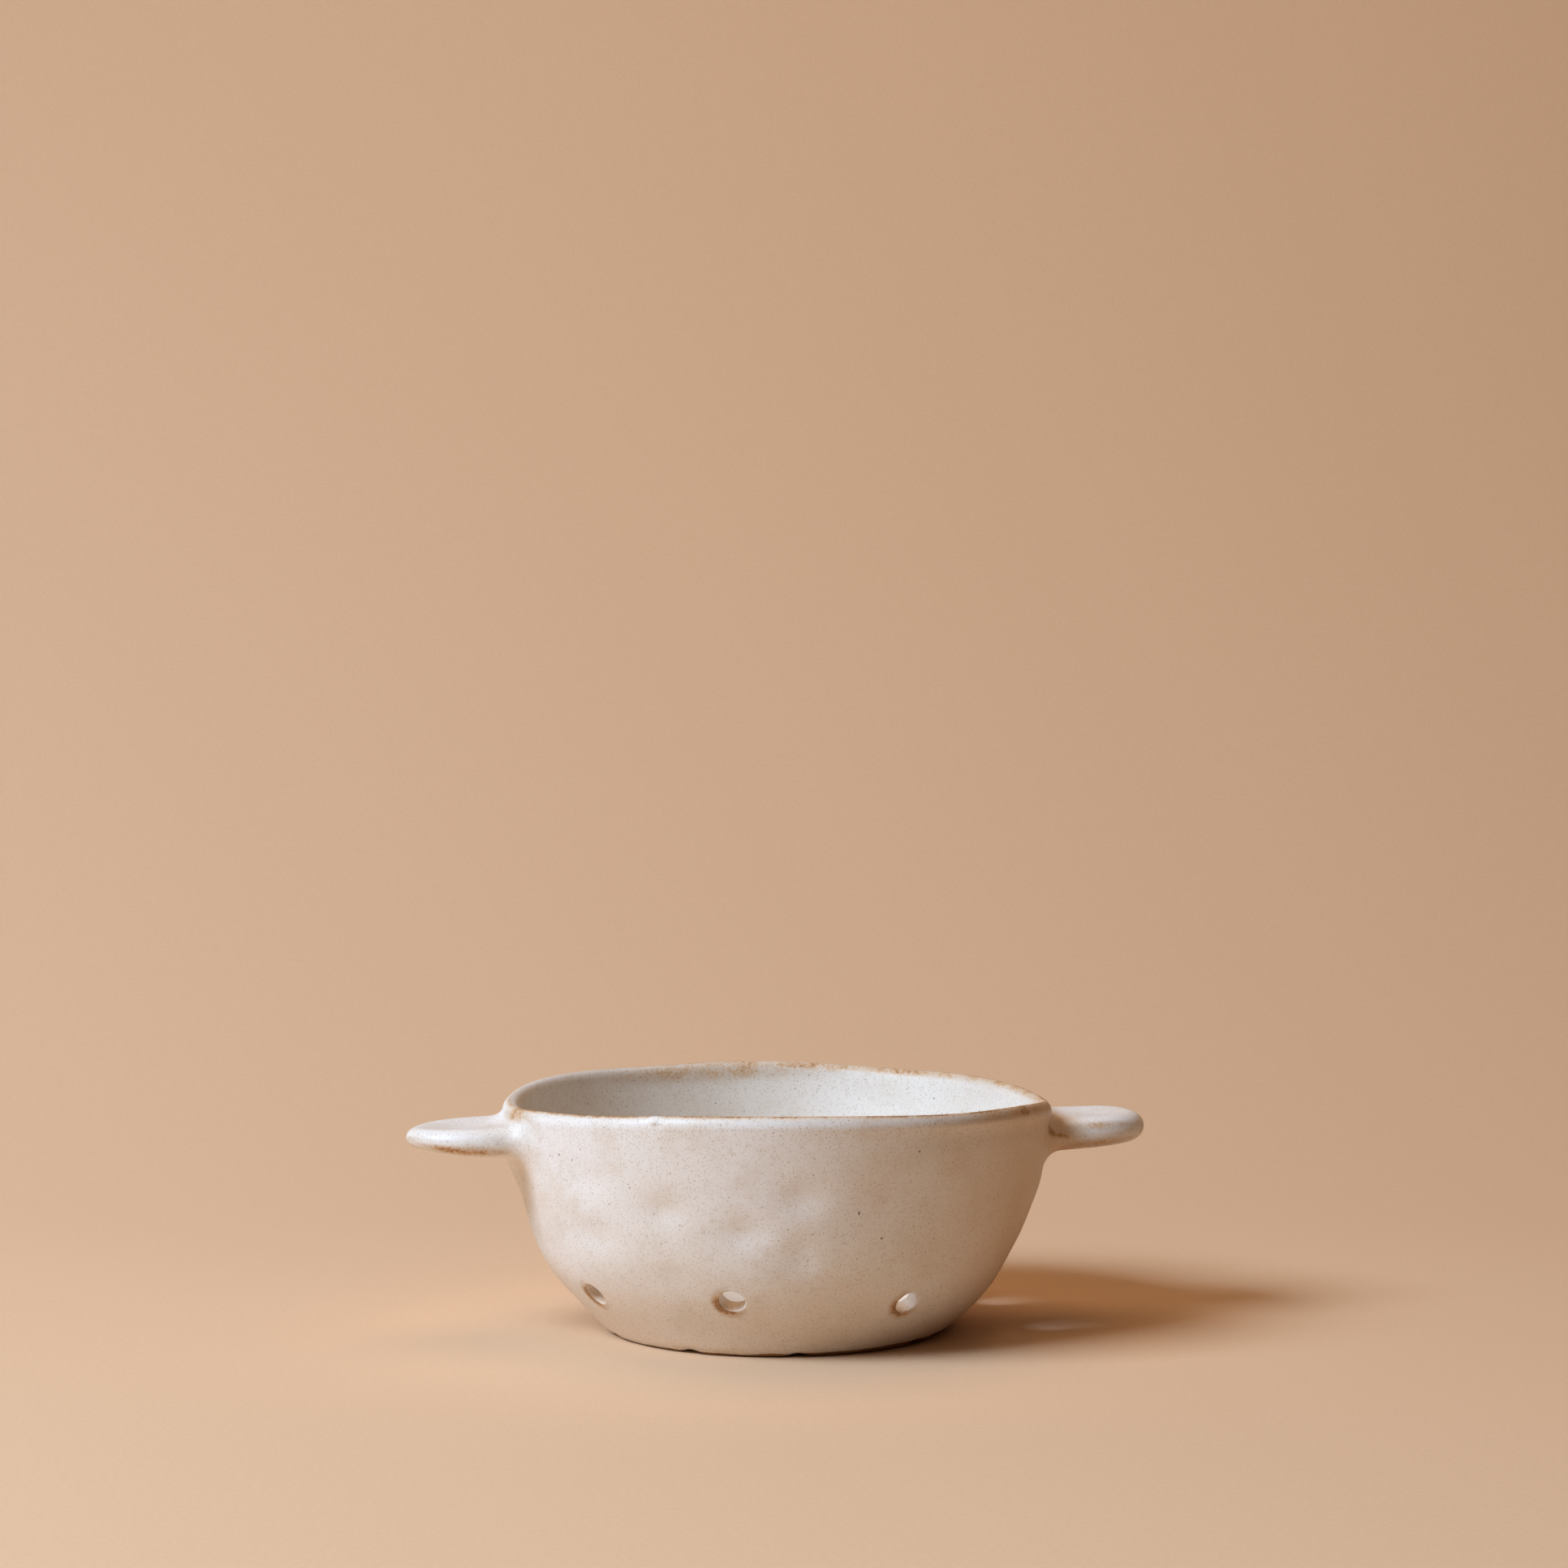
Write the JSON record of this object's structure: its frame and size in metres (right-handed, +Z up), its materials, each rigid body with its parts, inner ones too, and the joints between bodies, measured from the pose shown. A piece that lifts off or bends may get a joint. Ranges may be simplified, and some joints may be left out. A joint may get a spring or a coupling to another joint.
{
  "type": "berry colander bowl",
  "caption": "Small round stoneware bowl on a notched foot, with drain holes low in the wall and in the floor, and a flat tongue lug at each side of a dipping rim.",
  "frame": {"origin": "on the table under the middle of the bowl", "axes": "+X towards the right lug's tip, the longest way across, +Y towards the back of the bowl, +Z up"},
  "size_m": [0.2024, 0.1488, 0.0655],
  "materials": {
    "outside_glaze": "satin warm white stoneware glaze with fine iron specks",
    "inside_glaze": "satin cool white stoneware glaze with fine iron specks",
    "lip_glaze": "satin white glaze, broken to tan where it is thin on the lip",
    "bare_clay": "unglazed brown stoneware, fine and slightly gritty"
  },
  "bodies": {
    "root": {"bowl_floor": "inside_glaze", "bowl_wall": "outside_glaze", "rim_coil": "lip_glaze", "foot_ring": "bare_clay", "left_handle": "outside_glaze", "right_handle": "outside_glaze", "left_handle_root_coil": "outside_glaze", "right_handle_root_coil": "outside_glaze"}
  },
  "joints": []
}
